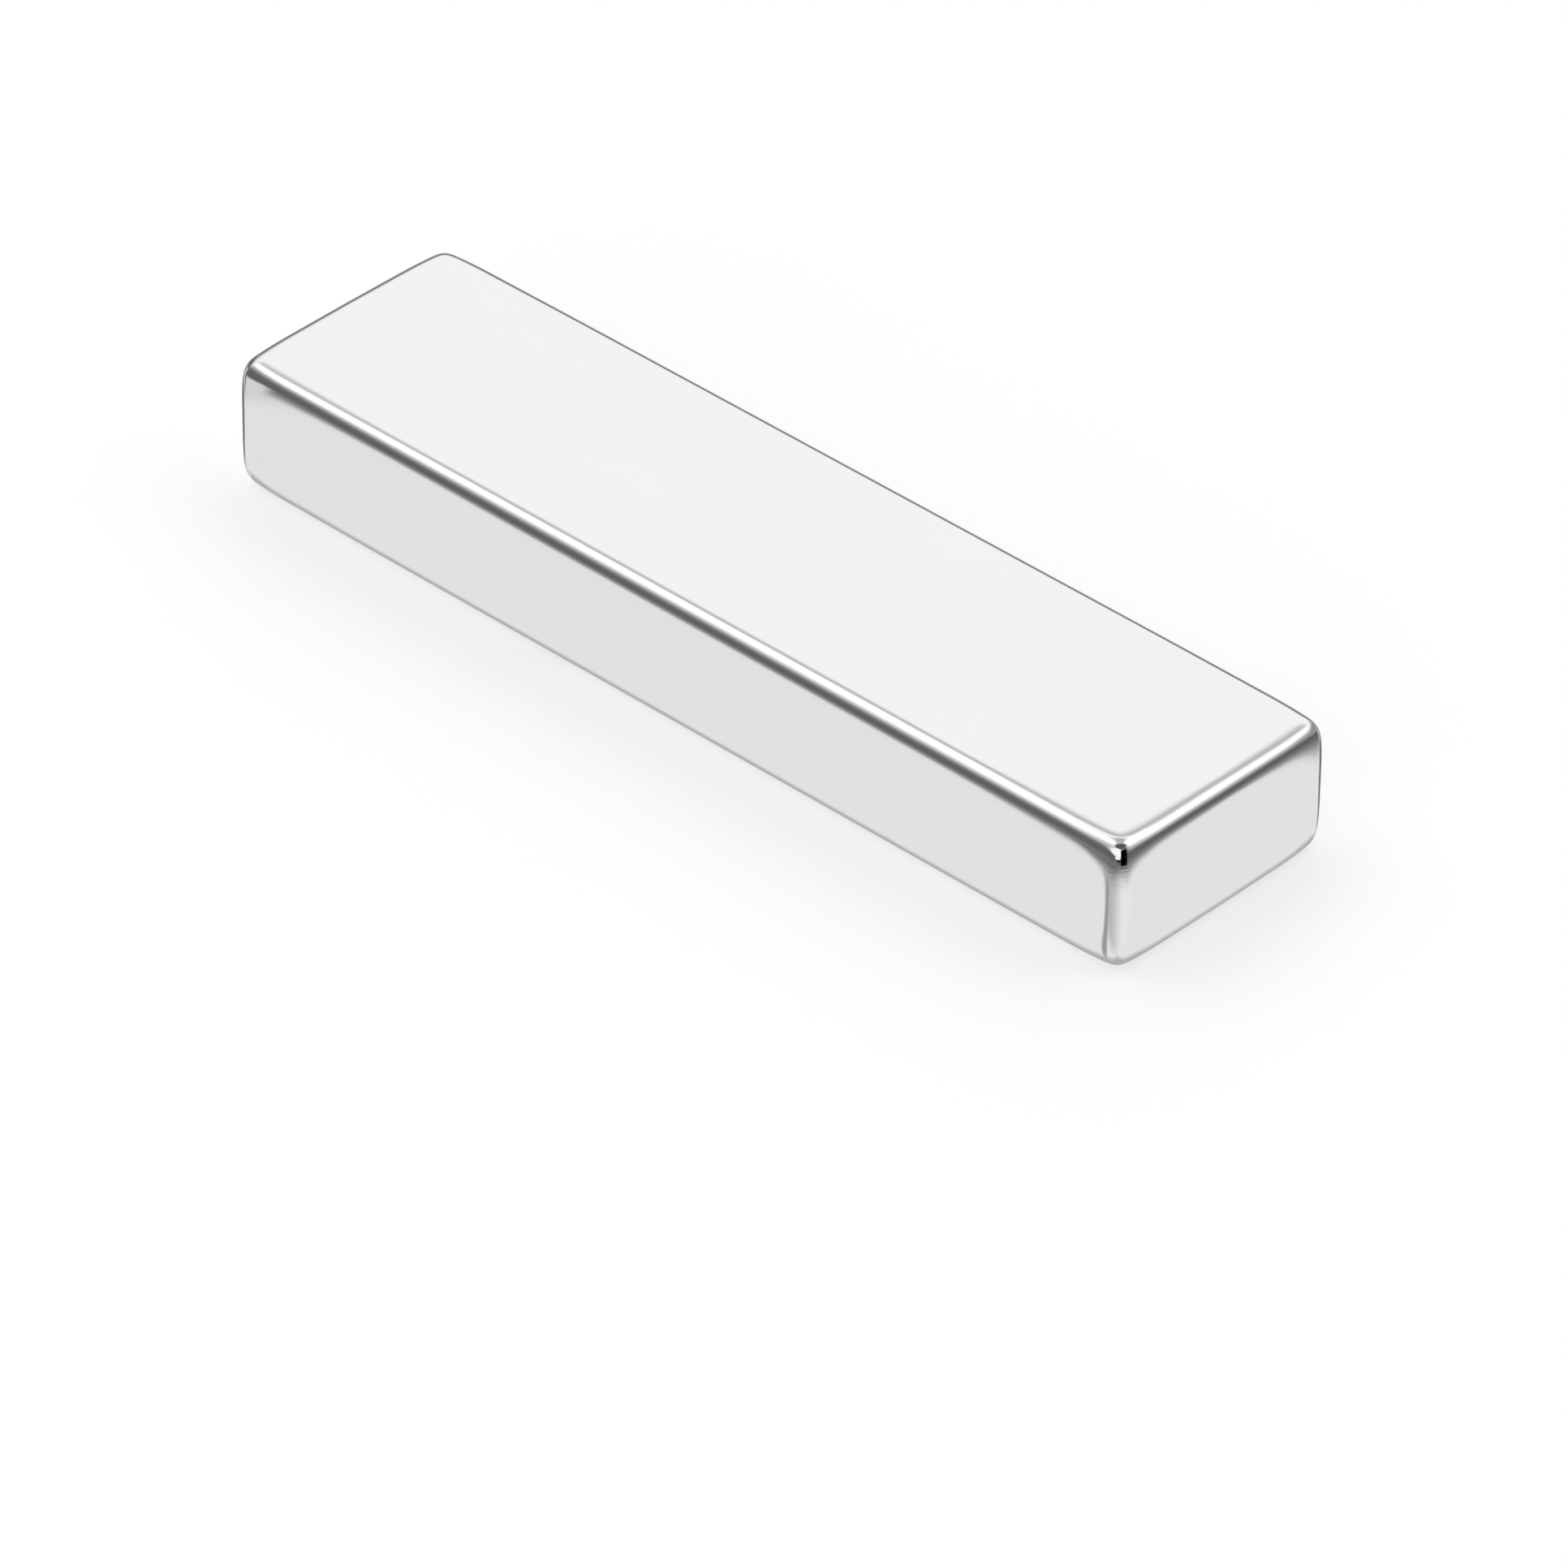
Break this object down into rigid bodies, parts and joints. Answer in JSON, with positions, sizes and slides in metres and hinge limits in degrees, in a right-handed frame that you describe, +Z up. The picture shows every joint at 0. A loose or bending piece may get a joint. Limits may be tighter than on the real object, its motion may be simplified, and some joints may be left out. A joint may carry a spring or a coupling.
{
  "type": "block magnet",
  "caption": "Flat rectangular bar magnet with tumbled edges and corners and a bright nickel plating, magnetised through its thickness.",
  "frame": {"origin": "centre of the underside, the lower large face", "axes": "+X along the bar, its longest side; +Y across it; +Z up through its thickness, from one large face to the other"},
  "size_m": [0.04, 0.01, 0.005],
  "materials": {
    "nickel_plating": "bright nickel plating over a tumbled surface, neutral grey, with a faint ripple in its reflections"
  },
  "bodies": {
    "root": {"block_magnet": "nickel_plating"}
  },
  "joints": []
}
